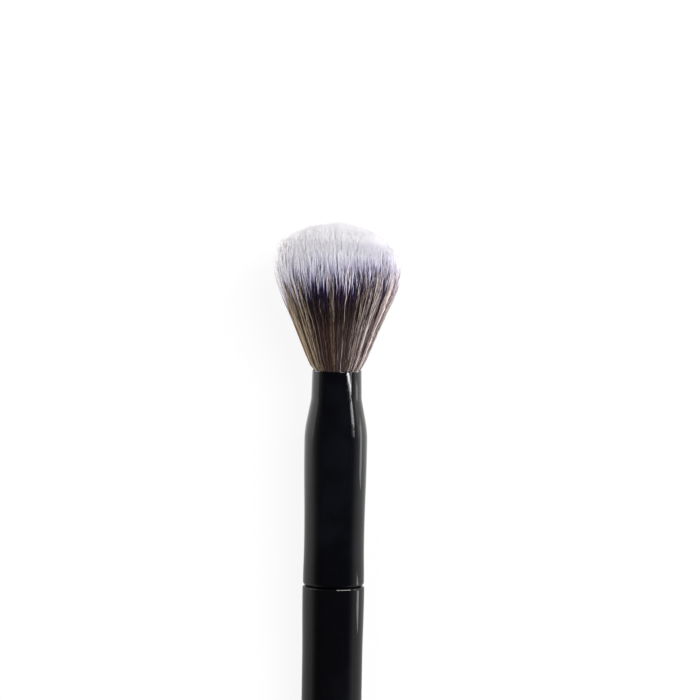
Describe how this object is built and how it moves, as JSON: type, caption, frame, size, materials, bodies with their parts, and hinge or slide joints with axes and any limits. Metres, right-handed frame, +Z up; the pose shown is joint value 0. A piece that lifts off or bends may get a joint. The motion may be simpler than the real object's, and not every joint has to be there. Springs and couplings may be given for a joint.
{
  "type": "angled blush brush",
  "caption": "Blush brush with a flared, dome-cut tuft of dark fibres with white tips, a black waisted metal ferrule and a black turned handle.",
  "frame": {"origin": "on the floor, under the middle of the lying brush", "axes": "+Z up, +Y along the brush from the handle's end towards the tuft, +X to the right of the tuft seen from above with the tuft up"},
  "size_m": [0.0282, 0.1745, 0.0274],
  "materials": {
    "handle_lacquer": "gloss black lacquer on turned wood",
    "ferrule_coating": "gloss black coating on drawn aluminium",
    "cured_glue": "clear amber cured epoxy",
    "tuft_fibre": "fine tapered synthetic fibre, brown and violet black with white tips"
  },
  "bodies": {
    "root": {"handle": "handle_lacquer", "ferrule": "ferrule_coating", "glue_plug": "cured_glue", "tuft": "tuft_fibre"}
  },
  "joints": []
}
